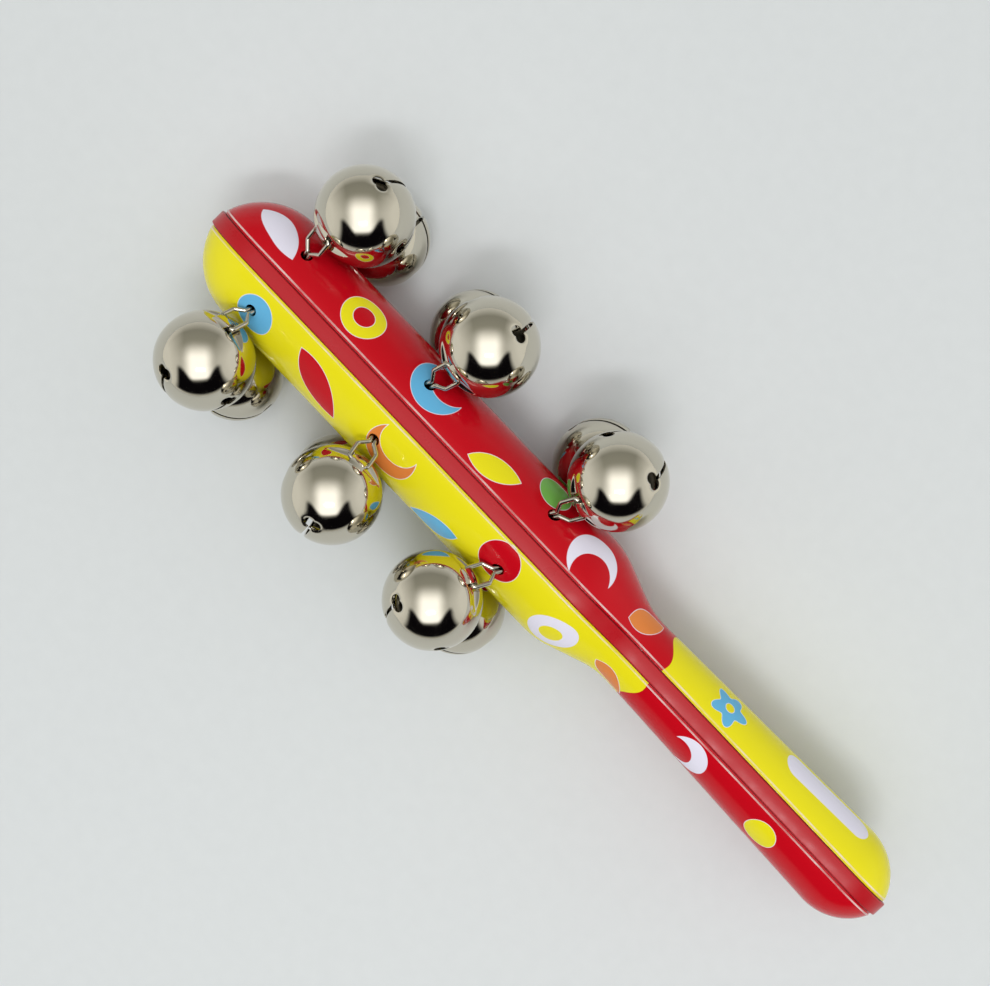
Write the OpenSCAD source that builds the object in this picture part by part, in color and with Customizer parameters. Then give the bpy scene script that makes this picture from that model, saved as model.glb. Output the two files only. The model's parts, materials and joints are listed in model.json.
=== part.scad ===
// Jingle stick: a tinplate stick in two pressed halves on a plastic centre frame, with twelve
// jingle bells hung on wire loop pins, three to a row, two rows on each half.
// X runs along the stick from its tip to its handle end, Y across the two halves (front half at +Y)
// and Z up. The stick lies on its lower bells: the origin is on the bench under its middle.

/* [Stick] */
// Length over the centre frame, tip to handle end
stick_len = 213; // [195:0.5:235]
// Radius of the pressed dome's section along the head
head_r = 16.2; // [14.5:0.1:18]
// How far the dome's centre line lies below its rim, which leaves it short of a half circle
arc_drop = 4.6; // [3:0.1:6]
// Where the head ends and the neck begins, from the tip
neck_at = 113.5; // [108:0.5:122]
// Steepest slope of the neck, in degrees
neck_slope = 20; // [14:1:28]
// Radius of the rounded shoulder at the head side of the neck
neck_round = 20; // [12:1:26]
// Radius of the hollow at the handle side of the neck
neck_hollow = 20; // [12:1:26]
// Radius of the dome's section at the thin end of the handle
grip_r = 10.95; // [9.5:0.05:12]
// Flare of the handle towards its end, in degrees
grip_flare = 1.7; // [0.5:0.1:3]

/* [Tin halves] */
// Thickness of the tinplate
tin = 0.4; // [0.25:0.05:0.7]
// Height of the straight skirt under the dome's rim edge
skirt_h = 1.0; // [0.6:0.1:2]
// Step of the turned edge where skirt and dome meet
rim_bead = 0.08; // [0.05:0.01:0.2]

/* [Centre frame] */
// Width of the flat band that shows between the halves
band_w = 3.4; // [2.6:0.1:5]
// How far the band stands proud of the tin
band_proud = 0.7; // [0.3:0.1:1.2]
// Thickness of the locating lip inside the skirts
lip_t = 1.2; // [0.8:0.1:2]
// Clearance of the lip to the skirt, round the edge and short of the dome
lip_gap = 0.1; // [0.05:0.01:0.25]

/* [Bell rows] */
// Distance of the first row of pin holes from the tip
first_row = 22.8; // [20:0.1:27]
// Pitch of the three stations along the head
row_pitch = 38.6; // [34:0.1:42]
// Angle of the pin holes round the dome, from its edge plane
hole_angle = 40; // [36:0.5:46]

/* [Bells] */
// Outer diameter of a bell
bell_d = 22; // [19:0.1:24]
// Sheet thickness of a bell
bell_wall = 0.45; // [0.3:0.05:0.7]
// Width of the crossed slits
slit_w = 0.9; // [0.6:0.05:1.4]
// Diameter of each lobe of the two-lobed hole that ends a slit
keyhole_d = 2.6; // [2:0.1:3.2]
// Turn of those lobes about the bell's centre, from the middle of the slit, in degrees
keyhole_lobe = 4; // [2.5:0.5:5]
// Angle of those holes from the slit end of the bell's axis
keyhole_at = 77; // [66:1:82]
// Width of the bridge strip over the pin
bridge_w = 3.4; // [2.8:0.1:3.8]
// Length of the bridge strip, from root to root
bridge_len = 5.2; // [4.8:0.1:6]
// Rise of the bridge strip over the sphere
bridge_rise = 0.5; // [0.35:0.05:0.7]
// Gap cut along each side of the bridge strip
lance_gap = 0.1; // [0.05:0.01:0.2]
// Width of the pressing that makes a pocket, where it opens under the bridge
pocket_w = 5.2; // [4.8:0.1:5.6]
// Length of a pressed pocket, from the bridge to its end
pocket_len = 5.3; // [4.8:0.1:6]
// How far the point of the pressing lies past the end of the pocket
pocket_run = 1.2; // [0.9:0.1:2]

/* [Loop pins] */
// Diameter of the wire
wire_d = 1.0; // [0.8:0.05:1.2]
// Spare length of the loop when its bell lies swayed the farthest
loop_slack = 1.35; // [0.6:0.05:1.5]
// How far the two legs stand out of their hole before they part
shank_out = 0.5; // [0.3:0.05:1]
// Bend radius of the wire, on its centre line
wire_bend = 0.8; // [0.65:0.05:1]
// Turn of each leg from the shoulder of the loop towards the hole, in degrees
shoulder_turn = 45; // [38:1:55]
// Play of the bar under the bridge and over the pocket floor
bar_gap = 0.2; // [0.12:0.01:0.3]
// How much stouter the wire is in its bends
bend_swell = 0.04; // [0.03:0.01:0.05]
// Gap between the two legs where they pass the tin
leg_gap = 0.1; // [0.06:0.01:0.2]
// Clearance of the legs in their hole
hole_gap = 0.3; // [0.1:0.05:0.5]
// Splay of each leg inside the tin, in degrees
leg_splay = 35; // [20:1:45]
// Length of a splayed leg end
leg_end = 2.2; // [1.5:0.1:3]

/* [Pellets] */
// Diameter of the loose ball in each bell
pellet_d = 5; // [4:0.1:6]
// Gap from the ball to the inside of its bell
pellet_gap = 0.3; // [0.1:0.05:0.5]

/* [Resting pose] */
// Gap between an upper bell and the lower bell beneath it
bell_clear = 1.2; // [0.6:0.1:3]
// Gap from a resting bell to the tin
rest_gap = 0.6; // [0.4:0.05:1]
// Sway of the upper front bells towards the handle, from the tip station on
sway_front_upper = [2.6, 2.9, 4.2]; // [-5:0.1:5]
// Sway of the upper rear bells
sway_rear_upper = [0.7, 2.2, -4.8]; // [-5:0.1:5]
// Sway of the lower front bells
sway_front_lower = [3.8, -3.2, -0.5]; // [-5:0.1:5]
// Sway of the lower rear bells
sway_rear_lower = [2.5, -1.3, 0.9]; // [-5:0.1:5]
// Turn of the upper front bells with their pins, which lifts the pocket on the tip's side, in degrees
roll_front_upper = [-13, 12, 20]; // [-20:1:20]
// Turn of the upper rear bells
roll_rear_upper = [-18, 10, -20]; // [-20:1:20]
// Turn of the lower front bells
roll_front_lower = [-19, 16, 2]; // [-20:1:20]
// Turn of the lower rear bells
roll_rear_lower = [-12, 6, -4]; // [-20:1:20]

/* [Hidden] */
$fn = 64;

// Side and row signs
FRONT = 1;
REAR = -1;
UPPER = 1;
LOWER = -1;

// Half width of a section of radius r where it meets the rim
function half_width(r) = sqrt(max(0, r * r - arc_drop * arc_drop));

// Planes across the stick: the band's side, the rim edge and the dome's centre line
side_y = band_w / 2;
rim_y = side_y + skirt_h;
dome_y = rim_y - arc_drop;

// Stations of the dome's profile along the stick, from the tip
tip_x = half_width(head_r + band_proud);
slope_len = (head_r - grip_r - neck_round * (1 - cos(neck_slope))
    - neck_hollow * (cos(grip_flare) - cos(neck_slope))) / sin(neck_slope);
hollow_x = neck_at + (neck_round + neck_hollow) * sin(neck_slope) + slope_len * cos(neck_slope);
hollow_y = grip_r + neck_hollow * cos(grip_flare);
grip_x = hollow_x + neck_hollow * sin(grip_flare);

// The end sphere is tangent to the flared handle and ends at the stick's length
function end_at(r) = stick_len - half_width(r + band_proud);
function end_fit(r, n) = n == 0 ? r
    : end_fit((end_at(r) - grip_x) * sin(grip_flare) + grip_r * cos(grip_flare), n - 1);
end_r = end_fit(grip_r, 8);
end_x = end_at(end_r);

// Points of an arc about [x, y], from angle a to angle b
function arc(x, y, r, a, b, n) = [for (k = [0 : n])
    let (t = a + (b - a) * k / n) [x + r * cos(t), y + r * sin(t)]];

// The dome's profile, [distance from the tip, radius], set in by i from the outside of the tin
function profile(i) = concat(
    arc(tip_x, 0, head_r - i, 180 - asin(arc_drop / (head_r - i)), 90, 18),
    arc(neck_at, head_r - neck_round, neck_round - i, 90, 90 - neck_slope, 5),
    arc(hollow_x, hollow_y, neck_hollow + i, 270 - neck_slope, 270 + grip_flare, 5),
    arc(end_x, 0, end_r - i, 90 + grip_flare, asin(arc_drop / (end_r - i)), 16));

// The stick's outline in the rim plane, set in by i
function rim_outline(i) = let (p = profile(i)) concat(
    [for (k = [0 : len(p) - 1]) [p[k][0], half_width(p[k][1])]],
    [for (k = [len(p) - 2 : -1 : 1]) [p[k][0], -half_width(p[k][1])]]);

// The solid under a dome set in by i, above its rim
module dome(i) {
    p = profile(i);
    intersection() {
        translate([0, dome_y, 0]) rotate([0, 90, 0]) rotate_extrude($fn = 128)
            polygon(concat([[0, p[0][0]]], [for (q = p) [q[1], q[0]]], [[0, p[len(p) - 1][0]]]));
        translate([0, rim_y, -2 * head_r]) cube([stick_len, 2 * head_r, 4 * head_r]);
    }
}

// A slab with the rim's outline set in by i, from plane y0 to plane y1
module slab(i, y0, y1) {
    translate([0, y1, 0]) rotate([90, 0, 0]) linear_extrude(y1 - y0) polygon(rim_outline(i));
}

// Height of the resting bell centres above or below the middle of the stick, and of that middle
bell_level = bell_d / 2 + bell_clear / 2;
bench_h = bell_level + bell_d / 2;

// Puts the stick's own frame, tip at zero and middle at zero height, on the bench
module on_bench() {
    translate([-stick_len / 2, 0, bench_h]) children();
}

// Bell stations, pin holes and resting bells, all in the front upper quarter
hole_out = dome_y + head_r * sin(hole_angle);
hole_z = head_r * cos(hole_angle);
bell_out = dome_y + sqrt(pow(head_r + bell_d / 2 + rest_gap, 2) - pow(bell_level, 2));
function station(k) = first_row + row_pitch * k;
function sway(side, row, k) = side == FRONT
    ? (row == UPPER ? sway_front_upper[k] : sway_front_lower[k])
    : (row == UPPER ? sway_rear_upper[k] : sway_rear_lower[k]);
function roll(side, row, k) = side == FRONT
    ? (row == UPPER ? roll_front_upper[k] : roll_front_lower[k])
    : (row == UPPER ? roll_rear_upper[k] : roll_rear_lower[k]);

// The bar's depth under the top of the sphere, and its distance from the bell's centre
bar_depth = bell_wall + bar_gap + wire_d / 2 - bridge_rise;
bar_arm = bell_d / 2 - bar_depth;

// Pin and bell form a two-link chain from the hole to the resting bell's centre
function chain(s) = [s, bell_out - hole_out, bell_level - hole_z];
sways = concat(sway_front_upper, sway_rear_upper, sway_front_lower, sway_rear_lower);
loop_reach = max([for (s = sways) norm(chain(s))]) - bar_arm + loop_slack;
function fold(s) = acos((pow(norm(chain(s)), 2) - pow(loop_reach, 2) - pow(bar_arm, 2))
    / (2 * loop_reach * bar_arm));
function turn(s) = atan2(chain(s)[0], chain(s)[1]);
function pin_rise(s) = asin(chain(s)[2] / norm(chain(s))) + asin(bar_arm * sin(fold(s)) / norm(chain(s)));
function bell_rise(s) = pin_rise(s) - fold(s);

// Carries a child to its quarter of the stick
module quarter(side, row) {
    mirror([0, side == REAR ? 1 : 0, 0]) mirror([0, 0, row == LOWER ? 1 : 0]) children();
}

// A pin's frame: its hole on the tin at the origin, its line outwards along Z and its bar along X
module pin_frame(side, row, k) {
    s = sway(side, row, k);
    quarter(side, row) translate([station(k), hole_out, hole_z])
        rotate(a = roll(side, row, k), v = chain(s)) rotate([pin_rise(s) - 90, 0, -turn(s)]) children();
}

// A bell's frame: its centre at the origin, its bridge at the top and the bar along X
module bell_frame(side, row, k) {
    s = sway(side, row, k);
    quarter(side, row) translate([station(k) + s, bell_out, bell_level])
        rotate(a = roll(side, row, k), v = chain(s)) rotate([90 + bell_rise(s), 0, -turn(s)]) children();
}

// Half the width of the loop and half the width of the pair of legs, on the wire's centre line
loop_half = bridge_w / 2 + wire_d / 2 + bar_gap;
leg_half = wire_d / 2 + leg_gap / 2;
pin_hole_d = 2 * (leg_half + wire_d / 2 + hole_gap);

// How far straight wire laps into a bend
wire_lap = 0.1;

// The pin holes of one half
module pin_holes(side) {
    for (row = [UPPER, LOWER], k = [0 : 2]) pin_frame(side, row, k)
        translate([0, 0, -2 * pin_hole_d]) cylinder(h = 4 * pin_hole_d, d = pin_hole_d);
}

// One pressed half in the front position: dome, turned edge and straight skirt
module half_shell() {
    difference() {
        union() {
            dome(0);
            slab(-rim_bead, side_y, rim_y);
        }
        dome(tin);
        slab(tin - rim_bead, side_y - 1, rim_y);
    }
}

module front_shell() {
    color("#c8141f") on_bench() difference() {
        half_shell();
        pin_holes(FRONT);
    }
}

module rear_shell() {
    color("#e9dc36") on_bench() difference() {
        mirror([0, 1, 0]) half_shell();
        pin_holes(REAR);
    }
}

// The moulded hoop: the flat band that shows, and a lip that locates both skirts
module centre_frame() {
    lip_in = tin - rim_bead + lip_gap;
    lip_y = rim_y - lip_gap;
    color("#cf2337") on_bench() difference() {
        union() {
            slab(-band_proud, -side_y, side_y);
            slab(lip_in, -lip_y, lip_y);
        }
        slab(lip_in + lip_t, -lip_y - 1, lip_y + 1);
    }
}

// Round wire along a flat path of steps [straight length, bend angle], heading along Z and
// bending towards X for positive angles. Bends are a hair stouter than the straights, which lap into them
module wire(steps, i = 0, flip = 1) {
    if (i < len(steps)) {
        a = steps[i][1] * flip;
        if (steps[i][0] > 0) translate([0, 0, -wire_lap])
            cylinder(h = steps[i][0] + (a == 0 ? 1 : 2) * wire_lap, d = wire_d, $fn = 24);
        translate([0, 0, steps[i][0]]) rotate([0, 0, a < 0 ? 180 : 0]) if (a != 0) {
            t = abs(a);
            translate([wire_bend, 0, 0]) rotate([90, 0, 180]) rotate_extrude(angle = t, $fn = 48)
                translate([wire_bend, 0]) circle(d = wire_d + bend_swell, $fn = 24);
            translate([wire_bend * (1 - cos(t)), 0, wire_bend * sin(t)]) rotate([0, t, 0])
                wire(steps, i + 1, a < 0 ? -flip : flip);
        }
    }
}

// A loop pin: bar, two straight cheeks, shoulders to the hole, and two legs splayed inside the tin
module loop_pin(side, row, k) {
    shoulder = (loop_half - leg_half - 2 * wire_bend * (1 - cos(shoulder_turn))) / sin(shoulder_turn);
    neck_h = 2 * wire_bend * sin(shoulder_turn) + shoulder * cos(shoulder_turn);
    cheek = loop_reach - wire_bend - neck_h - shank_out;
    shank = shank_out + pin_hole_d / 2;
    bar_half = loop_half - wire_bend;
    color("#b9b6ae") on_bench() pin_frame(side, row, k) translate([0, 0, loop_reach]) {
        rotate([0, 90, 0]) cylinder(h = 2 * (bar_half + wire_lap), d = wire_d, center = true, $fn = 24);
        for (m = [0, 1]) mirror([m, 0, 0]) translate([bar_half, 0, 0]) rotate([0, 90, 0]) wire([
            [0, 90],
            [cheek, shoulder_turn],
            [shoulder, -shoulder_turn],
            [shank, -leg_splay],
            [leg_end, 0]]);
    }
}

// The plane beside the bridge on which a pocket opens
mouth_x = bridge_w / 2 + lance_gap;

// The pressing that makes a pocket, set out by o and cut off at x = from: a cone that lies over the
// sphere's wall. Its underside runs from the floor under the bar to the pocket's end on the sphere
module pressing(o, from) {
    floor_end = [mouth_x, bar_arm - wire_d / 2 - bar_gap];
    tip_end = [mouth_x + pocket_len, sqrt(pow(bell_d / 2, 2) - pow(mouth_x + pocket_len, 2))];
    point = tip_end + (tip_end - floor_end) * pocket_run / norm(tip_end - floor_end);
    run = norm(floor_end - point);
    spread = asin(pocket_w / 2 / run);
    lean = atan2(floor_end[1] - point[1], point[0] - floor_end[0]);
    past = 1.5 * run;
    intersection() {
        translate([point[0], 0, point[1]]) rotate([0, lean + spread - 90, 0]) cylinder(h = past,
            r1 = o / cos(spread) + 0.01, r2 = past * tan(spread) + o / cos(spread));
        translate([from, -bell_d / 2, 0]) cube(bell_d);
    }
}

// A bell: pressed sphere with two pockets under the ends of a bridge strip, and crossed slits
module bell_form() {
    r = bell_d / 2;
    arch_half = bridge_len / 2 + bell_wall / 2;
    rise = bridge_rise + r - sqrt(r * r - pow(arch_half, 2));
    arch_r = (pow(arch_half, 2) + rise * rise) / (2 * rise);
    difference() {
        union() {
            difference() {
                sphere(r, $fn = 96);
                difference() {
                    sphere(r - bell_wall, $fn = 96);
                    for (m = [0, 1]) mirror([m, 0, 0]) pressing(bell_wall, mouth_x - lance_gap / 2);
                }
                for (m = [0, 1]) mirror([m, 0, 0]) pressing(0, bridge_w / 4);
                translate([-mouth_x, -bridge_len / 2, r / 2]) cube([2 * mouth_x, bridge_len, r]);
            }
            intersection() {
                translate([-bridge_w / 2, 0, r + bridge_rise - arch_r]) rotate([0, 90, 0]) difference() {
                    cylinder(h = bridge_w, r = arch_r);
                    translate([0, 0, -1]) cylinder(h = bridge_w + 2, r = arch_r - bell_wall);
                }
                translate([-bridge_w, -bridge_len / 2 - bell_wall, r / 2])
                    cube([2 * bridge_w, bridge_len + 2 * bell_wall, r]);
            }
        }
        for (q = [0, 90]) rotate([0, 0, q]) translate([-r, -slit_w / 2, -r - 1])
            cube([2 * r, slit_w, r * (1 - cos(keyhole_at)) + 1]);
        for (q = [0 : 90 : 270], m = [-1, 1]) rotate([0, 0, q]) rotate([0, 180 - keyhole_at, 0])
            rotate([m * keyhole_lobe, 0, 0]) translate([0, 0, r / 2]) cylinder(h = r, d = keyhole_d);
    }
}

module bell(side, row, k) {
    color("#c9c5ba") on_bench() bell_frame(side, row, k) bell_form();
}

// The loose ball, lying at the lowest place on the round of its bell
module pellet(side, row, k) {
    roll_r = bell_d / 2 - bell_wall - pellet_gap - pellet_d / 2;
    color("#8f8f8f") on_bench() bell_frame(side, row, k) rotate([0, 0, roll(side, row, k)])
        translate([0, -row * roll_r, 0]) sphere(d = pellet_d, $fn = 32);
}

front_shell();
rear_shell();
centre_frame();
bell(FRONT, UPPER, 0);  // bell_front_upper_1
bell(FRONT, UPPER, 1);  // bell_front_upper_2
bell(FRONT, UPPER, 2);  // bell_front_upper_3
bell(FRONT, LOWER, 0);  // bell_front_lower_1
bell(FRONT, LOWER, 1);  // bell_front_lower_2
bell(FRONT, LOWER, 2);  // bell_front_lower_3
bell(REAR, UPPER, 0);  // bell_rear_upper_1
bell(REAR, UPPER, 1);  // bell_rear_upper_2
bell(REAR, UPPER, 2);  // bell_rear_upper_3
bell(REAR, LOWER, 0);  // bell_rear_lower_1
bell(REAR, LOWER, 1);  // bell_rear_lower_2
bell(REAR, LOWER, 2);  // bell_rear_lower_3
loop_pin(FRONT, UPPER, 0);  // pin_front_upper_1
loop_pin(FRONT, UPPER, 1);  // pin_front_upper_2
loop_pin(FRONT, UPPER, 2);  // pin_front_upper_3
loop_pin(FRONT, LOWER, 0);  // pin_front_lower_1
loop_pin(FRONT, LOWER, 1);  // pin_front_lower_2
loop_pin(FRONT, LOWER, 2);  // pin_front_lower_3
loop_pin(REAR, UPPER, 0);  // pin_rear_upper_1
loop_pin(REAR, UPPER, 1);  // pin_rear_upper_2
loop_pin(REAR, UPPER, 2);  // pin_rear_upper_3
loop_pin(REAR, LOWER, 0);  // pin_rear_lower_1
loop_pin(REAR, LOWER, 1);  // pin_rear_lower_2
loop_pin(REAR, LOWER, 2);  // pin_rear_lower_3
pellet(FRONT, UPPER, 0);  // pellet_front_upper_1
pellet(FRONT, UPPER, 1);  // pellet_front_upper_2
pellet(FRONT, UPPER, 2);  // pellet_front_upper_3
pellet(FRONT, LOWER, 0);  // pellet_front_lower_1
pellet(FRONT, LOWER, 1);  // pellet_front_lower_2
pellet(FRONT, LOWER, 2);  // pellet_front_lower_3
pellet(REAR, UPPER, 0);  // pellet_rear_upper_1
pellet(REAR, UPPER, 1);  // pellet_rear_upper_2
pellet(REAR, UPPER, 2);  // pellet_rear_upper_3
pellet(REAR, LOWER, 0);  // pellet_rear_lower_1
pellet(REAR, LOWER, 1);  // pellet_rear_lower_2
pellet(REAR, LOWER, 2);  // pellet_rear_lower_3
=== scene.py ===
"""A jingle stick lying on its bells: two lithographed tin halves on a moulded centre frame, and twelve
nickel jingle bells that hang on wire loop pins. Shapes are made in millimetres about their own frames and
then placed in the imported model's frame."""
import json
import math

import bmesh
import bpy
from mathutils import Matrix, Vector


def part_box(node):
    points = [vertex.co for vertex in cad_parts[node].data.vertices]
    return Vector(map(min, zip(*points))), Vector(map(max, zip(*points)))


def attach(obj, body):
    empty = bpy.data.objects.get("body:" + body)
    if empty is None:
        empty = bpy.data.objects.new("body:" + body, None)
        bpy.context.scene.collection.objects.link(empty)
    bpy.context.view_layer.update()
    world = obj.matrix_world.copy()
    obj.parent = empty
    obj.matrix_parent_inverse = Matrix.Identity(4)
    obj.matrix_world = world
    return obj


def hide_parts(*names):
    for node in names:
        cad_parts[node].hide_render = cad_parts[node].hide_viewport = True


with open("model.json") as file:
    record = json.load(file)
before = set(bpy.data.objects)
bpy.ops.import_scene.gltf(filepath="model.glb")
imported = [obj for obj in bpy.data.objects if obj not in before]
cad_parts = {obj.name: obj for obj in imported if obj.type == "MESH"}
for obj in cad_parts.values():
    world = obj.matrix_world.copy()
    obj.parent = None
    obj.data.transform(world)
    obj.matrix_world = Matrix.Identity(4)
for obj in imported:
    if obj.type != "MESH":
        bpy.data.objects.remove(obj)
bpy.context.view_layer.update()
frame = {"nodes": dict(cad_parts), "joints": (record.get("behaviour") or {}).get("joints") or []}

MM = 0.001
FRONT = 1
REAR = -1

# The tin halves, as the solids have them
HEAD_R = 16.2
ARC_DROP = 4.6
NECK_AT = 113.5
NECK_SLOPE = 20
NECK_ROUND = 20
NECK_HOLLOW = 20
GRIP_R = 10.95
GRIP_FLARE = 1.7
TIN = 0.4
SKIRT_H = 1.0
PIN_HOLE_R = 1.35
# The turned edge of the tin, and the dark gap left between its skirt and the band
RIM_RIDGE = 0.14
GROOVE = 0.22
# The turned edge from the rim down: share of the ridge that each step moves outwards, and how far it drops
RIM_STEPS = ((0.7, 0.08), (0.3, 0.12), (-0.4, 0.14), (-0.6, 0.1))
SKIRT_FOOT = 0.1
TIN_EDGE = 0.08
# Steps along the dome's outline, and round its half turn
TIP_STEPS = 36
HEAD_STEPS = 60
NECK_STEPS = 12
SLOPE_STEPS = 10
GRIP_STEPS = 40
END_STEPS = 32
SPIN_STEPS = 120
# Points closer than this are one, and a hole's cuts reach this many times its half size
MERGE_DIST = 0.001
PUNCH_REACH = 2.2

# The centre frame
BAND_W = 3.4
BAND_PROUD = 0.7
BAND_ROUND = 0.22
LIP_T = 1.2
LIP_GAP = 0.1

# The bells
BELL_R = 11.0
BELL_WALL = 0.45
SLIT_W = 0.9
KEYHOLE_AT = 77
KEYHOLE_R = 1.3
KEYHOLE_LOBE = 4
BRIDGE_W = 3.4
BRIDGE_LEN = 5.2
BRIDGE_RISE = 0.5
LANCE_GAP = 0.1
POCKET_W = 5.2
POCKET_LEN = 5.3
POCKET_RUN = 1.2
# How softly the sheet rolls over into a pocket, and how far its cut edges are turned in
POCKET_ROLL = 0.3
EDGE_TURN = 0.2
EDGE_TURN_WIDTH = 0.45
BELL_EDGE = 0.05
# The bell's grid: cuts along an edge of the cube it starts from, and how far round the cap, the pockets and
# the cuts it is finer
BELL_CUTS = 31
CAP_FROM = 0.6
POCKET_MARGIN_X = 0.6
POCKET_MARGIN_Y = 0.4
CUT_MARGIN = 1.2
CAP_MARGIN = 1.0
KEYHOLE_SIDES = 24

# The loop pins
WIRE_R = 0.5
WIRE_BEND = 0.8
SHOULDER_TURN = 45
LEG_GAP = 0.1
SHANK_OUT = 0.5
BAR_GAP = 0.2
LEG_SPLAY = 35
LEG_END = 2.2
WIRE_SIDES = 24
BEND_STEPS = 8

# Angles past which an edge of a sheet is rounded, and past which it shades as sharp
ROUNDED_PAST = 50
SHARP_PAST = 38

# The photograph's view: a phone held close above the stick
CAMERA_AT = Vector((-15.0, 16.2, 314.5))
CAMERA_LOOKS_AT = Vector((-18.9, 1.9, 22.6))
CAMERA_UP = Vector((-0.7233, 0.6906, 0.0))
CAMERA_LENS = 47.36
SENSOR = 36.0


# Colours and shader nodes

def linear(code):
    """An sRGB hex colour as linear RGBA."""
    parts = [int(code[k:k + 2], 16) / 255 for k in (1, 3, 5)]
    return [p / 12.92 if p <= 0.04045 else ((p + 0.055) / 1.055) ** 2.4 for p in parts] + [1.0]


def add(tree, kind, inputs=None, **settings):
    """Adds a node: settings are its properties, inputs are values or links for its sockets."""
    new = tree.nodes.new(kind)
    for name, value in settings.items():
        setattr(new, name, value)
    for socket, value in (inputs or {}).items():
        if isinstance(value, bpy.types.Node):
            value = value.outputs[0]
        if isinstance(value, bpy.types.NodeSocket):
            tree.links.new(value, new.inputs[socket])
        else:
            new.inputs[socket].default_value = value
    return new


def finish(name, **sockets):
    """A new material with one Principled shader, its plain sockets set: (material, node tree, shader)."""
    material = bpy.data.materials.new(name)
    material.use_nodes = True
    tree = material.node_tree
    shader = tree.nodes["Principled BSDF"]
    for socket, value in sockets.items():
        shader.inputs[socket.replace("_", " ")].default_value = value
    return material, tree, shader


# Shapes of the stick

def half_width(radius):
    """Half the width of a dome section where it meets the rim."""
    return math.sqrt(max(0.0, radius ** 2 - ARC_DROP ** 2))


stick_low, stick_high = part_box("centre_frame")
STICK_LEN = (stick_high.x - stick_low.x) / MM
STICK_ORIGIN = Vector((stick_low.x, 0, (stick_low.z + stick_high.z) / 2))
STICK_AT = Matrix.Translation(STICK_ORIGIN) @ Matrix.Scale(MM, 4)

SIDE_Y = BAND_W / 2
RIM_Y = SIDE_Y + SKIRT_H
DOME_Y = RIM_Y - ARC_DROP
TIP_X = half_width(HEAD_R + BAND_PROUD)
SLOPE, FLARE = math.radians(NECK_SLOPE), math.radians(GRIP_FLARE)
SLOPE_LEN = (HEAD_R - GRIP_R - NECK_ROUND * (1 - math.cos(SLOPE))
             - NECK_HOLLOW * (math.cos(FLARE) - math.cos(SLOPE))) / math.sin(SLOPE)
HOLLOW_X = NECK_AT + (NECK_ROUND + NECK_HOLLOW) * math.sin(SLOPE) + SLOPE_LEN * math.cos(SLOPE)
HOLLOW_Y = GRIP_R + NECK_HOLLOW * math.cos(FLARE)
GRIP_X = HOLLOW_X + NECK_HOLLOW * math.sin(FLARE)
# The butt's radius and place depend on each other, and settle in a few rounds
END_R = GRIP_R
for fit in range(8):
    END_X = STICK_LEN - half_width(END_R + BAND_PROUD)
    END_R = (END_X - GRIP_X) * math.sin(FLARE) + GRIP_R * math.cos(FLARE)


def arc(x, y, radius, start, end, steps):
    """Points of an arc about (x, y), from one angle to another in degrees."""
    angles = [math.radians(start + (end - start) * k / steps) for k in range(steps + 1)]
    return [(x + radius * math.cos(a), y + radius * math.sin(a)) for a in angles]


def between(p, q, steps):
    """The points between two ends of a straight run."""
    shares = [k / steps for k in range(1, steps)]
    return [(p[0] + (q[0] - p[0]) * s, p[1] + (q[1] - p[1]) * s) for s in shares]


def profile(inset, closing=1.0):
    """The dome's outline along the stick, (distance from the tip, radius), set in from the outside. Both
    ends stop where the radius is this share of the dome's drop below its rim."""
    tip_r, end_r = HEAD_R - inset, END_R - inset
    tip_lean = math.degrees(math.asin(closing * ARC_DROP / tip_r))
    end_lean = math.degrees(math.asin(closing * ARC_DROP / end_r))
    tip = arc(TIP_X, 0, tip_r, 180 - tip_lean, 90, TIP_STEPS)
    shoulder = arc(NECK_AT, HEAD_R - NECK_ROUND, NECK_ROUND - inset, 90, 90 - NECK_SLOPE, NECK_STEPS)
    hollow = arc(HOLLOW_X, HOLLOW_Y, NECK_HOLLOW + inset, 270 - NECK_SLOPE, 270 + GRIP_FLARE, NECK_STEPS)
    end = arc(END_X, 0, end_r, 90 + GRIP_FLARE, end_lean, END_STEPS)
    return (tip + between(tip[-1], shoulder[0], HEAD_STEPS)
            + shoulder + between(shoulder[-1], hollow[0], SLOPE_STEPS)
            + hollow + between(hollow[-1], end[0], GRIP_STEPS) + end)


def punch(bm, centre, axis, across, half_sizes, sides=16):
    """Punches an oval hole along an axis through the near wall of a sheet."""
    along = axis.cross(across)
    reach = PUNCH_REACH * max(half_sizes)
    near = [f for f in bm.faces if (f.calc_center_median() - centre).length < reach]
    geom = list({*near, *(e for f in near for e in f.edges), *(v for f in near for v in f.verts)})
    for k in range(sides):
        turn = 2 * math.pi * k / sides
        a, b = math.cos(turn), math.sin(turn)
        geom = bmesh.ops.bisect_plane(
            bm, geom=geom, plane_co=centre + across * (a * half_sizes[0]) + along * (b * half_sizes[1]),
            plane_no=across * (a / half_sizes[0]) + along * (b / half_sizes[1]))["geom"]
    inside = []
    for face in [g for g in geom if isinstance(g, bmesh.types.BMFace)]:
        off = face.calc_center_median() - centre
        if math.hypot(off.dot(across) / half_sizes[0], off.dot(along) / half_sizes[1]) < 1:
            inside.append(face)
    bmesh.ops.delete(bm, geom=inside, context="FACES")


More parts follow.
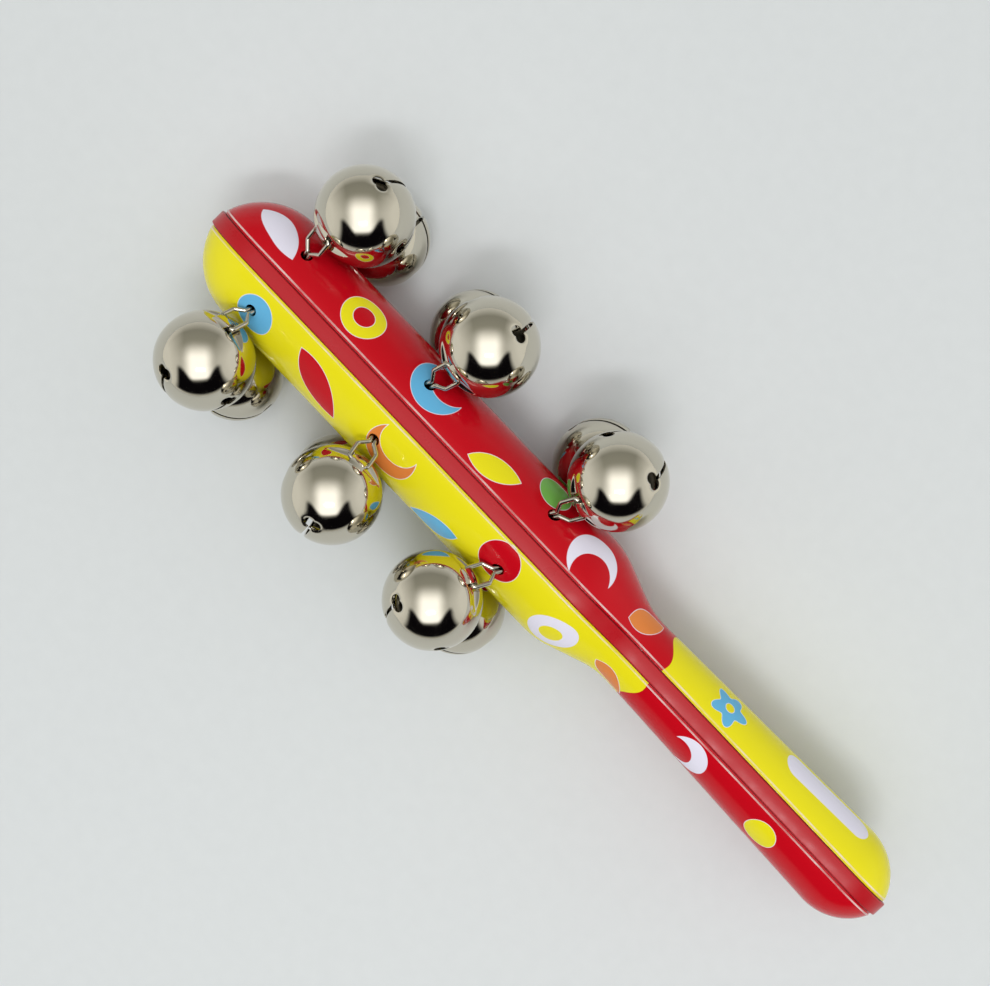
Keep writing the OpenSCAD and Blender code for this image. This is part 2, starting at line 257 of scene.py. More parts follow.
def half_shell(side):
    """One pressed tin half: a spun dome, a turned edge, and a straight skirt down to the band."""
    bm = bmesh.new()
    chain = [bm.verts.new((x, side * DOME_Y, r)) for x, r in profile(0, closing=0.6)]
    edges = [bm.edges.new(pair) for pair in zip(chain, chain[1:])]
    bmesh.ops.spin(bm, geom=chain + edges, cent=(0, side * DOME_Y, 0), axis=(1, 0, 0),
                   angle=-side * math.pi, steps=SPIN_STEPS)
    bmesh.ops.bisect_plane(bm, geom=bm.verts[:] + bm.edges[:] + bm.faces[:], clear_inner=True,
                           plane_co=(0, side * RIM_Y, 0), plane_no=(0, side, 0))
    bmesh.ops.remove_doubles(bm, verts=bm.verts[:], dist=MERGE_DIST)
    bmesh.ops.recalc_face_normals(bm, faces=bm.faces[:])
    if sum(f.normal.y * side * f.calc_area() for f in bm.faces) < 0:
        bmesh.ops.reverse_faces(bm, faces=bm.faces[:])
    bm.normal_update()
    ring = [e for e in bm.edges if e.is_boundary]
    outward = bm.verts.layers.float_vector.new("outward")
    for v in {v for e in ring for v in e.verts}:
        v[outward] = Vector((v.normal.x, 0, v.normal.z)).normalized()
    skirt = SKIRT_H - GROOVE - SKIRT_FOOT - sum(down for share, down in RIM_STEPS)
    for share, down in RIM_STEPS + ((0, skirt), (0, SKIRT_FOOT)):
        grown = bmesh.ops.extrude_edge_only(bm, edges=ring)["geom"]
        ring = [g for g in grown if isinstance(g, bmesh.types.BMEdge) and g.is_boundary]
        for v in (g for g in grown if isinstance(g, bmesh.types.BMVert)):
            v.co += v[outward] * (share * RIM_RIDGE) - Vector((0, side * down, 0))
    for joint in frame["joints"]:
        if joint["name"].startswith("swivel_" + ("front" if side == FRONT else "rear")):
            hole = (Vector(joint["pos_m"]) - STICK_ORIGIN) / MM
            axis = Vector(joint["axis"])
            punch(bm, hole, axis, axis.orthogonal().normalized(), (PIN_HOLE_R, PIN_HOLE_R))
    return bm


def centre_frame():
    """The moulded hoop: loops of the stick's outline at each corner of its section, bridged in a ring."""
    lip_in = TIN + LIP_GAP
    lip_y = RIM_Y - LIP_GAP
    corners = [(-BAND_PROUD, -SIDE_Y), (-BAND_PROUD, SIDE_Y), (lip_in, SIDE_Y), (lip_in, lip_y),
               (lip_in + LIP_T, lip_y), (lip_in + LIP_T, -lip_y), (lip_in, -lip_y), (lip_in, -SIDE_Y)]
    bm = bmesh.new()
    loops = []
    for inset, y in corners:
        upper = [(x, half_width(r)) for x, r in profile(inset)]
        outline = upper + [(x, -z) for x, z in upper[-2:0:-1]]
        points = [bm.verts.new((x, y, z)) for x, z in outline]
        loops.append([bm.edges.new(pair) for pair in zip(points, points[1:] + points[:1])])
    for loop, following in zip(loops, loops[1:] + loops[:1]):
        bmesh.ops.bridge_loops(bm, edges=loop + following)
    bmesh.ops.recalc_face_normals(bm, faces=bm.faces[:])
    bmesh.ops.bevel(bm, geom=loops[0] + loops[1], offset=BAND_ROUND, segments=3, profile=0.5,
                    affect="EDGES", material=-1)
    return bm


# Shapes of a bell and a loop pin

# How far the bar lies from the bell's centre
BAR_ARM = BELL_R - (BELL_WALL + BAR_GAP + WIRE_R - BRIDGE_RISE)
# A pocket in the plane of the bar: where its floor starts and ends, and the point and spread of its cone
MOUTH_X = BRIDGE_W / 2 + LANCE_GAP
FLOOR_END = Vector((MOUTH_X, BAR_ARM - WIRE_R - BAR_GAP))
TIP_END = Vector((MOUTH_X + POCKET_LEN, math.sqrt(BELL_R ** 2 - (MOUTH_X + POCKET_LEN) ** 2)))
POCKET_POINT = TIP_END + (TIP_END - FLOOR_END).normalized() * POCKET_RUN
POCKET_SPREAD = math.asin(POCKET_W / 2 / (FLOOR_END - POCKET_POINT).length)
POCKET_RISE = POCKET_SPREAD + math.atan2(FLOOR_END.y - POCKET_POINT.y, POCKET_POINT.x - FLOOR_END.x)
# Directions of the keyholes' lobes from the bell's centre, and the height at which the slits start
KEYHOLES = [Matrix.Rotation(quarter * math.pi / 2, 3, "Z")
            @ Matrix.Rotation(math.pi - math.radians(KEYHOLE_AT), 3, "Y")
            @ Matrix.Rotation(math.radians(lobe * KEYHOLE_LOBE), 3, "X") @ Vector((0, 0, 1))
            for quarter in range(4) for lobe in (-1, 1)]
SLIT_Z = -BELL_R * math.cos(math.radians(KEYHOLE_AT))


def refine(bm, wanted):
    """Halves the grid where the wanted test holds at both ends of an edge."""
    edges = [e for e in bm.edges if all(wanted(v.co) for v in e.verts)]
    bmesh.ops.subdivide_edges(bm, edges=edges, cuts=1, use_grid_fill=True)
    for v in bm.verts:
        v.co = v.co.normalized() * BELL_R


def slice_between(bm, axis, half, wanted):
    """Cuts the wanted faces of a bell along two planes, half to each side of its middle."""
    for sign in (1, -1):
        faces = [f for f in bm.faces if wanted(f.calc_center_median())]
        geom = list({*faces, *(e for f in faces for e in f.edges), *(v for f in faces for v in f.verts)})
        bmesh.ops.bisect_plane(bm, geom=geom, plane_co=axis * (sign * half), plane_no=axis)


def from_cut(at):
    """Distance of a point of the sphere from the nearest edge of a slit or keyhole."""
    gaps = [(at - axis * BELL_R).length - KEYHOLE_R for axis in KEYHOLES]
    if at.z < SLIT_Z:
        gaps.append(min(abs(at.x), abs(at.y)) - SLIT_W / 2)
    return max(0.0, min(gaps))


def pocket_floor(x, y):
    """Height of a pocket's floor: the underside of a cone that lies over the wall beside the bridge."""
    back = abs(x) - POCKET_POINT.x
    spread = math.cos(POCKET_SPREAD) ** 2
    a = spread - math.sin(POCKET_RISE) ** 2
    b = math.sin(2 * POCKET_RISE) * back
    c = (back ** 2 + y ** 2) * spread - (math.cos(POCKET_RISE) * back) ** 2
    if back > 0 or b * b < 4 * a * c:
        return BELL_R
    return POCKET_POINT.y - (b + math.sqrt(b * b - 4 * a * c)) / (2 * a)


def pressed_bell():
    """One bell about its centre, pressed from one sheet: bridge on top, the bar's line along X, and four
    petals that meet round the slits below."""
    bm = bmesh.new()
    bmesh.ops.create_cube(bm, size=2)
    bmesh.ops.subdivide_edges(bm, edges=bm.edges[:], cuts=BELL_CUTS, use_grid_fill=True)
    for v in bm.verts:
        v.co = Vector([math.tan(c * math.pi / 4) for c in v.co])
    pocket_end = TIP_END.x + POCKET_MARGIN_X
    pocket_side = POCKET_W / 2 + POCKET_MARGIN_Y
    refine(bm, lambda co: co.normalized().z > CAP_FROM)
    refine(bm, lambda co: co.z > 0 and abs(co.x) < pocket_end and abs(co.y) < pocket_side)
    refine(bm, lambda co: from_cut(co) < CUT_MARGIN)
    x_axis, y_axis = Vector((1, 0, 0)), Vector((0, 1, 0))
    slit_side = BRIDGE_W / 2 + LANCE_GAP / 2
    slice_between(bm, x_axis, slit_side, lambda c: c.z > TIP_END.y)
    slice_between(bm, x_axis, SLIT_W / 2, lambda c: c.z < SLIT_Z)
    slice_between(bm, y_axis, SLIT_W / 2, lambda c: c.z < SLIT_Z)
    bmesh.ops.delete(bm, context="FACES", geom=[
        f for f in bm.faces if f.calc_center_median().z < SLIT_Z
        and min(abs(f.calc_center_median().x), abs(f.calc_center_median().y)) < SLIT_W / 2])
    for axis in KEYHOLES:
        punch(bm, axis * BELL_R, axis, axis.orthogonal().normalized(), (KEYHOLE_R, KEYHOLE_R),
              sides=KEYHOLE_SIDES)
    lanced = [e for e in bm.edges if all(abs(abs(v.co.x) - slit_side) < 0.01 and v.co.z > TIP_END.y
                                         and abs(v.co.y) < BRIDGE_LEN / 2 for v in e.verts)]
    bmesh.ops.split_edges(bm, edges=lanced)
    for v in bm.verts:
        v.co = v.co.normalized() * BELL_R
        x, y, z = v.co
        if z < TIP_END.y - CAP_MARGIN:
            v.co *= 1 - EDGE_TURN / BELL_R * math.exp(-from_cut(v.co) / EDGE_TURN_WIDTH)
            continue
        middle = sum(abs(f.calc_center_median().x) for f in v.link_faces) / len(v.link_faces)
        if middle > slit_side:
            over = min(1, max(-1, (z - pocket_floor(x, y)) / POCKET_ROLL))
            v.co.z = min(z, pocket_floor(x, y)) - POCKET_ROLL / 4 * (1 - abs(over)) ** 2
        elif abs(y) < BRIDGE_LEN / 2:
            v.co.z += BRIDGE_RISE * (1 - (2 * y / BRIDGE_LEN) ** 2)
    bmesh.ops.recalc_face_normals(bm, faces=bm.faces[:])
    return bm


def loop_pin(reach):
    """One wire pin from its hole at the origin out along Z: a bar, cheeks, shoulders and splayed legs.
    Half of it is drawn from the middle of the bar with straights and spun bends, then mirrored."""
    loop_half = BRIDGE_W / 2 + WIRE_R + BAR_GAP
    leg_half = WIRE_R + LEG_GAP / 2
    turn = math.radians(SHOULDER_TURN)
    shoulder = (loop_half - leg_half - 2 * WIRE_BEND * (1 - math.cos(turn))) / math.sin(turn)
    neck = 2 * WIRE_BEND * math.sin(turn) + shoulder * math.cos(turn)
    cheek = reach - WIRE_BEND - neck - SHANK_OUT
    steps = [(loop_half - WIRE_BEND, 90), (cheek, SHOULDER_TURN), (shoulder, -SHOULDER_TURN),
             (SHANK_OUT + PIN_HOLE_R, -LEG_SPLAY), (LEG_END, 0)]
    bm = bmesh.new()
    at, heading = Vector((0, 0, reach)), Vector((1, 0, 0))
    ring = bmesh.ops.create_circle(bm, segments=WIRE_SIDES, radius=WIRE_R,
                                   matrix=Matrix.Translation(at) @ Matrix.Rotation(math.pi / 2, 4, "Y"))
    ring = list({e for v in ring["verts"] for e in v.link_edges})
    for length, bend in steps:
        grown = bmesh.ops.extrude_edge_only(bm, edges=ring)["geom"]
        fresh = [g for g in grown if isinstance(g, bmesh.types.BMVert)]
        bmesh.ops.translate(bm, vec=heading * length, verts=fresh)
        ring = [g for g in grown if isinstance(g, bmesh.types.BMEdge) and g.is_boundary]
        at = at + heading * length
        if bend:
            inner = Vector((heading.z, 0, -heading.x)) * math.copysign(WIRE_BEND, bend)
            spun = bmesh.ops.spin(bm, geom=ring, cent=at + inner, axis=(0, 1, 0),
                                  angle=math.radians(bend), steps=BEND_STEPS)
            ring = [g for g in spun["geom_last"] if isinstance(g, bmesh.types.BMEdge)]
            swing = Matrix.Rotation(math.radians(bend), 3, "Y")
            at = at + inner - swing @ inner
            heading = swing @ heading
    bmesh.ops.holes_fill(bm, edges=ring, sides=0)
    half = bm.verts[:] + bm.edges[:] + bm.faces[:]
    bmesh.ops.mirror(bm, geom=half, axis="X", merge_dist=MERGE_DIST)
    bmesh.ops.remove_doubles(bm, verts=bm.verts[:], dist=MERGE_DIST)
    bmesh.ops.recalc_face_normals(bm, faces=bm.faces[:])
    return bm


# Pieces in the frame

def sheet_mesh(bm, name, wall, edge_round):
    """A mesh from a single sheet: its wall grown inwards and the cut edges lightly rounded."""
    mesh = bpy.data.meshes.new(name)
    bm.to_mesh(mesh)
    bm.free()
    blank = bpy.data.objects.new(name, mesh)
    bpy.context.scene.collection.objects.link(blank)
    solid = blank.modifiers.new("wall", "SOLIDIFY")
    solid.thickness = wall
    solid.offset = -1
    solid.use_even_offset = True
    soft = blank.modifiers.new("edges", "BEVEL")
    soft.width = edge_round
    soft.segments = 2
    soft.limit_method = "ANGLE"
    soft.angle_limit = math.radians(ROUNDED_PAST)
    made = bpy.data.meshes.new_from_object(blank.evaluated_get(bpy.context.evaluated_depsgraph_get()))
    bpy.data.objects.remove(blank)
    bpy.data.meshes.remove(mesh)
    return made


def solid_mesh(bm, name):
    """A mesh from a closed shape."""
    mesh = bpy.data.meshes.new(name)
    bm.to_mesh(mesh)
    bm.free()
    return mesh


def piece(name, mesh, place, body, node, material):
    """Puts a copy of a mesh in the frame as a piece that rides on a body in place of a node."""
    mesh = mesh.copy()
    mesh.name = name
    mesh.transform(place)
    mesh.shade_smooth()
    mesh.set_sharp_from_angle(angle=math.radians(SHARP_PAST))
    mesh.materials.clear()
    mesh.materials.append(material)
    made = bpy.data.objects.new(name, mesh)
    bpy.context.scene.collection.objects.link(made)
    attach(made, body)
    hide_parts(node)


# Materials

INK = {"red": "#C20C1C", "yellow": "#E9DE1E", "blue": "#66B4E0", "white": "#E6E3F3", "orange": "#E0833F",
       "green": "#79B957"}
# How far a moon's horns are rounded off
HORN_ROUND = 0.3


def motif(tree, kind, local, size):
    """Signed distance in millimetres to a printed motif about its own middle, negative inside it. Its
    proportions are shares of the motif's size."""
    reach = add(tree, "ShaderNodeVectorMath", {0: local}, operation="LENGTH").outputs["Value"]
    if kind == "dot":
        return add(tree, "ShaderNodeMath", {0: reach, 1: size}, operation="SUBTRACT")
    if kind == "ring":
        off = add(tree, "ShaderNodeMath", {0: reach, 1: 0.75 * size}, operation="SUBTRACT")
        line = add(tree, "ShaderNodeMath", {0: off}, operation="ABSOLUTE")
        return add(tree, "ShaderNodeMath", {0: line, 1: 0.25 * size}, operation="SUBTRACT")
    if kind == "moon":
        shift = (0.55 * size, 0, 0)
        aside = add(tree, "ShaderNodeVectorMath", {0: local, 1: shift}, operation="SUBTRACT")
        bite = add(tree, "ShaderNodeVectorMath", {0: aside}, operation="LENGTH").outputs["Value"]
        disc = add(tree, "ShaderNodeMath", {0: reach, 1: size}, operation="SUBTRACT")
        gap = add(tree, "ShaderNodeMath", {0: 0.82 * size, 1: bite}, operation="SUBTRACT")
        return add(tree, "ShaderNodeMath", {0: disc, 1: gap, 2: HORN_ROUND}, operation="SMOOTH_MAX")
    if kind == "leaf":
        folded = add(tree, "ShaderNodeVectorMath", {0: local}, operation="ABSOLUTE")
        below = add(tree, "ShaderNodeVectorMath", {0: folded, 1: (0, 0.98 * size, 0)}, operation="ADD")
        far = add(tree, "ShaderNodeVectorMath", {0: below}, operation="LENGTH").outputs["Value"]
        return add(tree, "ShaderNodeMath", {0: far, 1: 1.4 * size}, operation="SUBTRACT")
    if kind == "dash":
        folded = add(tree, "ShaderNodeVectorMath", {0: local}, operation="ABSOLUTE")
        past = add(tree, "ShaderNodeVectorMath", {0: folded, 1: (size, 0, 0)}, operation="SUBTRACT")
        ends = add(tree, "ShaderNodeVectorMath", {0: past, 1: (0, 0, 0)}, operation="MAXIMUM")
        far = add(tree, "ShaderNodeVectorMath", {0: ends}, operation="LENGTH").outputs["Value"]
        return add(tree, "ShaderNodeMath", {0: far, 1: 0.34 * size}, operation="SUBTRACT")
    parts = add(tree, "ShaderNodeSeparateXYZ", {0: local})
    angle = add(tree, "ShaderNodeMath", {0: parts.outputs[1], 1: parts.outputs[0]}, operation="ARCTAN2")
    five = add(tree, "ShaderNodeMath", {0: angle, 1: 5.0}, operation="MULTIPLY")
    lobes = add(tree, "ShaderNodeMath", {0: five}, operation="COSINE")
    edge = add(tree, "ShaderNodeMath", {0: lobes, 1: 0.2 * size, 2: 0.8 * size}, operation="MULTIPLY_ADD")
    petals = add(tree, "ShaderNodeMath", {0: reach, 1: edge}, operation="SUBTRACT")
    eye = add(tree, "ShaderNodeMath", {0: 0.26 * size, 1: reach}, operation="SUBTRACT")
    return add(tree, "ShaderNodeMath", {0: petals, 1: eye}, operation="MAXIMUM")


# Motifs of each half: kind, ink, distance from the tip, distance round the dome from its middle, size,
# turn in degrees
FRONT_PRINT = [
    ("leaf", "white", 15, 14, 7.5, 28), ("ring", "yellow", 41, 14.4, 5.2, 0),
    ("moon", "blue", 63, 13, 6.4, 300), ("leaf", "yellow", 84, 17, 6.5, 160),
    ("dot", "green", 97, 9, 4.2, 0), ("moon", "white", 113, 15, 6.2, 60),
    ("leaf", "orange", 131, 8, 6.0, 130), ("flower", "blue", 157, 8, 4.8, 0),
    ("dash", "white", 186, 6, 9.0, 0), ("flower", "yellow", 24, -9, 6.4, 0),
    ("moon", "white", 50, -10, 6.8, 120), ("dot", "blue", 78, -12, 5.0, 0),
    ("leaf", "green", 100, -8, 8.0, 20), ("ring", "orange", 124, -8, 5.2, 0),
    ("moon", "red", 164, -7, 5.0, 60)]
REAR_PRINT = [
    ("dot", "blue", 24, 14, 4.6, 0), ("leaf", "red", 44, 13, 8.5, 150),
    ("moon", "orange", 66, 15, 6.4, 80), ("leaf", "blue", 83, 8, 7.0, 30),
    ("dot", "red", 99, 16, 5.0, 0), ("ring", "white", 118, 11, 5.4, 0),
    ("leaf", "orange", 134, 6, 5.5, 150), ("moon", "white", 158, 8, 5.0, 210),
    ("dot", "yellow", 181, 9, 3.8, 0), ("moon", "blue", 24, -8, 6.8, 0),
    ("dot", "red", 50, -10, 5.0, 0), ("leaf", "green", 74, -8, 8.0, 40),
    ("flower", "red", 100, -10, 6.4, 0), ("ring", "blue", 126, -8, 5.2, 0),
    ("leaf", "yellow", 168, -6, 6.0, 10)]
# Where the head's colour gives way to the handle's, and the rate and height of that edge's waves
COLOUR_CHANGE = 139.5
CHANGE_WAVE = (0.42, 1.3)
# The pale line that register play leaves round the inks, and how softly an ink ends
REGISTER_GAP = 0.13
INK_EDGE = 0.05
# A painted highlight: a pale line along the turned edge that stands in for the light the bead catches: its
# middle, counted outwards from the dome's axis, and half its width
PAINTED_HIGHLIGHT_AT = ARC_DROP - 0.18
PAINTED_HIGHLIGHT_W = 0.2


def lithographed_tin(name, side, head, handle, motifs):
    """Tinplate printed flat with gloss inks, varnished and then pressed: clear colours with hair-thin pale
    lines where the inks don't quite meet, and a gloss that follows the faint waves of the sheet."""
    material, tree, shader = finish(name, Roughness=0.14, Specular_IOR_Level=0.16)
    place = add(tree, "ShaderNodeTexCoord").outputs["Object"]
    stick = add(tree, "ShaderNodeMapping", {
        "Vector": place, "Scale": (1 / MM, side / MM, 1 / MM),
        "Location": (-STICK_ORIGIN.x / MM, -DOME_Y, -STICK_ORIGIN.z / MM)})
    parts = add(tree, "ShaderNodeSeparateXYZ", {0: stick})
    along, outward, up = parts.outputs
    angle = add(tree, "ShaderNodeMath", {0: up, 1: outward}, operation="ARCTAN2")
    squared = add(tree, "ShaderNodeMath", {0: up, 1: up}, operation="MULTIPLY")
    radius_squared = add(tree, "ShaderNodeMath", {
        0: outward, 1: outward, 2: squared}, operation="MULTIPLY_ADD")
    radius = add(tree, "ShaderNodeMath", {0: radius_squared}, operation="SQRT")
    round_dome = add(tree, "ShaderNodeMath", {0: angle, 1: radius}, operation="MULTIPLY")
    sheet = add(tree, "ShaderNodeCombineXYZ", {0: along, 1: round_dome})
    phase = add(tree, "ShaderNodeMath", {0: round_dome, 1: CHANGE_WAVE[0]}, operation="MULTIPLY")
    swing = add(tree, "ShaderNodeMath", {0: phase}, operation="SINE")
    waved = add(tree, "ShaderNodeMath", {0: swing, 1: CHANGE_WAVE[1], 2: along}, operation="MULTIPLY_ADD")
    past = add(tree, "ShaderNodeMapRange", {
        "Value": waved, "From Min": COLOUR_CHANGE - INK_EDGE, "From Max": COLOUR_CHANGE + INK_EDGE})
    ground = add(tree, "ShaderNodeMix", {
        "Factor": past, "A": linear(INK[head]), "B": linear(INK[handle])}, data_type="RGBA")
    colour = ground.outputs["Result"]
    for ink in INK:
        distance = None
        for kind, its_ink, x, y, size, turn in motifs:
            if its_ink != ink:
                continue
            local = add(tree, "ShaderNodeMapping", {
                "Vector": sheet, "Location": (x, y, 0), "Rotation": (0, 0, math.radians(turn))},
                vector_type="TEXTURE")
            found = motif(tree, kind, local, size)
            if distance is not None:
                found = add(tree, "ShaderNodeMath", {0: distance, 1: found}, operation="MINIMUM")
            distance = found
        if distance is None:
            continue
        for reach, shade in ((REGISTER_GAP, INK["white"]), (0, INK[ink])):
            mask = add(tree, "ShaderNodeMapRange", {
                "Value": distance, "From Min": reach + INK_EDGE, "From Max": reach - INK_EDGE})
            colour = add(tree, "ShaderNodeMix", {
                "Factor": mask, "A": colour, "B": linear(shade)}, data_type="RGBA").outputs["Result"]
    # Painted highlight along the turned edge: a pale colour mixed into the print in patches, in place of
    # the light that the bead catches
    on_line = add(tree, "ShaderNodeMath", {0: outward, 1: PAINTED_HIGHLIGHT_AT, 2: PAINTED_HIGHLIGHT_W}, operation="COMPARE")
    patchy = add(tree, "ShaderNodeTexNoise", {"Vector": place, "Scale": 1 / (7 * MM), "Detail": 3.0})
    highlight_patches = add(tree, "ShaderNodeMapRange", {
        "Value": patchy, "From Min": 0.35, "From Max": 0.65, "To Min": 0.25, "To Max": 0.7})
    painted_highlight = add(tree, "ShaderNodeMath", {0: on_line, 1: highlight_patches}, operation="MULTIPLY")
    colour = add(tree, "ShaderNodeMix", {
        "Factor": painted_highlight, "A": colour, "B": linear("#F3E6E2")}, data_type="RGBA").outputs["Result"]
    tree.links.new(colour, shader.inputs["Base Color"])
    wave = add(tree, "ShaderNodeTexNoise", {"Vector": place, "Scale": 1 / (9 * MM), "Detail": 1.0})
    grain = add(tree, "ShaderNodeTexNoise", {"Vector": place, "Scale": 1 / (0.5 * MM), "Detail": 2.0})
    height = add(tree, "ShaderNodeMath", {0: grain, 1: 0.02, 2: wave}, operation="MULTIPLY_ADD")
    bump = add(tree, "ShaderNodeBump", {"Height": height, "Strength": 0.5, "Distance": 0.12 * MM})
    tree.links.new(bump.outputs[0], shader.inputs["Normal"])
    return material


def moulded_plastic():
    """Satin injection-moulded polystyrene, coloured through: its skin is a little uneven, so a highlight
    along the band breaks into patches."""
    material, tree, shader = finish("moulded_polystyrene_red", Specular_IOR_Level=0.25)
    shader.inputs["Base Color"].default_value = linear("#B3141F")
    place = add(tree, "ShaderNodeTexCoord").outputs["Object"]
    patches = add(tree, "ShaderNodeTexNoise", {"Vector": place, "Scale": 1 / (6 * MM), "Detail": 4.0})
    gloss = add(tree, "ShaderNodeMapRange", {
        "Value": patches, "From Min": 0.3, "From Max": 0.7, "To Min": 0.24, "To Max": 0.42})
    tree.links.new(gloss.outputs[0], shader.inputs["Roughness"])
    skin = add(tree, "ShaderNodeTexNoise", {"Vector": place, "Scale": 1 / (0.8 * MM), "Detail": 3.0})
    bump = add(tree, "ShaderNodeBump", {"Height": skin, "Strength": 0.35, "Distance": 0.03 * MM})
    tree.links.new(bump.outputs[0], shader.inputs["Normal"])
    return material


def bright_nickel(name, code, rough):
    """Bright nickel plate over pressed steel: a warm mirror, faintly pebbled by barrel polishing, which
    leaves grain along the borders of its reflections."""
    material, tree, shader = finish(name, Metallic=1.0)
    shader.inputs["Base Color"].default_value = linear(code)
    place = add(tree, "ShaderNodeTexCoord").outputs["Object"]
    haze = add(tree, "ShaderNodeTexNoise", {"Vector": place, "Scale": 1 / (3 * MM), "Detail": 5.0})
    gloss = add(tree, "ShaderNodeMapRange", {
        "Value": haze, "From Min": 0.35, "From Max": 0.75, "To Min": rough, "To Max": rough + 0.07})
    tree.links.new(gloss.outputs[0], shader.inputs["Roughness"])
    dents = add(tree, "ShaderNodeTexNoise", {"Vector": place, "Scale": 1 / (5 * MM), "Detail": 1.0})
    pebble = add(tree, "ShaderNodeTexNoise", {"Vector": place, "Scale": 1 / (0.22 * MM), "Detail": 2.0})
    height = add(tree, "ShaderNodeMath", {0: pebble, 1: 0.012, 2: dents}, operation="MULTIPLY_ADD")
    bump = add(tree, "ShaderNodeBump", {"Height": height, "Strength": 0.5, "Distance": 0.06 * MM})
    tree.links.new(bump.outputs[0], shader.inputs["Normal"])
    return material


def plain_steel():
    """Tumbled steel balls: dull grey metal with fine scuffs."""
    material, tree, shader = finish("tumbled_steel", Metallic=1.0)
    place = add(tree, "ShaderNodeTexCoord").outputs["Object"]
    scuff = add(tree, "ShaderNodeTexNoise", {"Vector": place, "Scale": 1 / (0.6 * MM), "Detail": 6.0})
    tone = add(tree, "ShaderNodeMix", {
        "Factor": scuff, "A": linear("#8C8984"), "B": linear("#AFACA6")}, data_type="RGBA")
    tree.links.new(tone.outputs["Result"], shader.inputs["Base Color"])
    gloss = add(tree, "ShaderNodeMapRange", {"Value": scuff, "To Min": 0.3, "To Max": 0.5})
    tree.links.new(gloss.outputs[0], shader.inputs["Roughness"])
    return material


# The stick

tin = {FRONT: lithographed_tin("tinplate_lithograph_front", FRONT, "red", "yellow", FRONT_PRINT),
       REAR: lithographed_tin("tinplate_lithograph_rear", REAR, "yellow", "red", REAR_PRINT)}
for side, name, slot in ((FRONT, "front_shell", "tin_red"), (REAR, "rear_shell", "tin_yellow")):
    pressed = sheet_mesh(half_shell(side), name, TIN, TIN_EDGE)
    piece("tin_" + name, pressed, STICK_AT, "stick", name, tin[side])
piece("moulded_frame", solid_mesh(centre_frame(), "moulded_frame"), STICK_AT, "stick", "centre_frame",
      moulded_plastic())

# The bells and their pins, placed by the axes of their joints

nickel = bright_nickel("bright_nickel_plate", "#CBC5B6", 0.05)
wire = bright_nickel("nickel_plated_wire", "#C2BDB0", 0.1)
steel = plain_steel()
joints = {j["name"]: j for j in frame["joints"]}
tags = [name[len("swing_"):] for name in joints if name.startswith("swing_")]
bell_mesh = sheet_mesh(pressed_bell(), "bell", BELL_WALL, BELL_EDGE)
pin_mesh = None
for tag in tags:
    hole, bar, middle = (Vector(joints[kind + tag]["pos_m"]) for kind in ("swivel_", "swing_", "roll_"))
    across = Vector(joints["swing_" + tag]["axis"]).normalized()
    if pin_mesh is None:
        pin_mesh = solid_mesh(loop_pin((bar - hole).length / MM), "pin")
    for made_as, node, mesh, origin, up, slot, metal in (
            ("wire_", "pin_" + tag, pin_mesh, hole, bar - hole, "pin_wire", wire),
            ("jingle_", "bell_" + tag, bell_mesh, middle, bar - middle, "bell_nickel", nickel)):
        up = up.normalized()
        axes = Matrix((across, up.cross(across), up)).transposed().to_4x4()
        place = Matrix.Translation(origin) @ axes @ Matrix.Scale(MM, 4)
        piece(made_as + node, mesh, place, node, node, metal)
    ball = frame["nodes"]["pellet_" + tag]
    ball.data.materials.clear()
    ball.data.materials.append(steel)

# The table, the light and the camera

TABLE_HALF = 3.0
floor_mesh = bpy.data.meshes.new("table")
bm = bmesh.new()
bmesh.ops.create_grid(bm, x_segments=1, y_segments=1, size=TABLE_HALF)
bm.to_mesh(floor_mesh)
bm.free()
table = bpy.data.objects.new("table", floor_mesh)
bpy.context.scene.collection.objects.link(table)
# White melamine laminate on the table: matt, with the faintest mottling
laminate, tree, shader = finish("white_table_laminate", Roughness=0.6, Specular_IOR_Level=0.2)
speck = add(tree, "ShaderNodeTexNoise", {
    "Vector": add(tree, "ShaderNodeTexCoord").outputs["Object"], "Scale": 1 / (4 * MM), "Detail": 5.0})
tone = add(tree, "ShaderNodeMix", {
    "Factor": speck, "A": linear("#D2D6D8"), "B": linear("#D7DBDD")}, data_type="RGBA")
tree.links.new(tone.outputs["Result"], shader.inputs["Base Color"])
floor_mesh.materials.append(laminate)

# A pale room: a broad soft light overhead, grey walls, and a black flag on the near side that the bells
# mirror. Directions are a lean from straight up towards the near side and an angle to either side, in
# degrees; each pair is where a mask is empty and where it is full
OVERHEAD_FAR = (-46, 2)
OVERHEAD_NEAR = (52, 44)
OVERHEAD_ASIDE = (42, 12)
FLAG_TOP = (-7, 9)
FLAG_FOOT = (90, 82)
FLAG_ASIDE = (54, 42)
# The flag's top edge: its lean in the middle and at the sides, and between which angles it comes down
FLAG_TOP_LEAN = (47, 18)
FLAG_TOP_ASIDE = (12, 44)
# The bright sides of the room, in radians
BRIGHT_ASIDE = (0.55, 1.2)
ROOM_LEVEL = 1.13
OVERHEAD_LEVEL = 0.74
world = bpy.data.worlds.new("soft_room")
bpy.context.scene.world = world
world.use_nodes = True
tree = world.node_tree
view = add(tree, "ShaderNodeTexCoord").outputs["Generated"]
near = (-CAMERA_UP).normalized()
toward = []
for axis in (near, near.cross(Vector((0, 0, -1))), Vector((0, 0, 1))):
    share = add(tree, "ShaderNodeVectorMath", {0: view, 1: tuple(axis)}, operation="DOT_PRODUCT")
    toward.append(share.outputs["Value"])
lean = add(tree, "ShaderNodeMath", {0: toward[0], 1: toward[2]}, operation="ARCTAN2")
sideways = add(tree, "ShaderNodeMath", {0: toward[1]}, operation="ARCSINE")
aside = add(tree, "ShaderNodeMath", {0: sideways}, operation="ABSOLUTE")
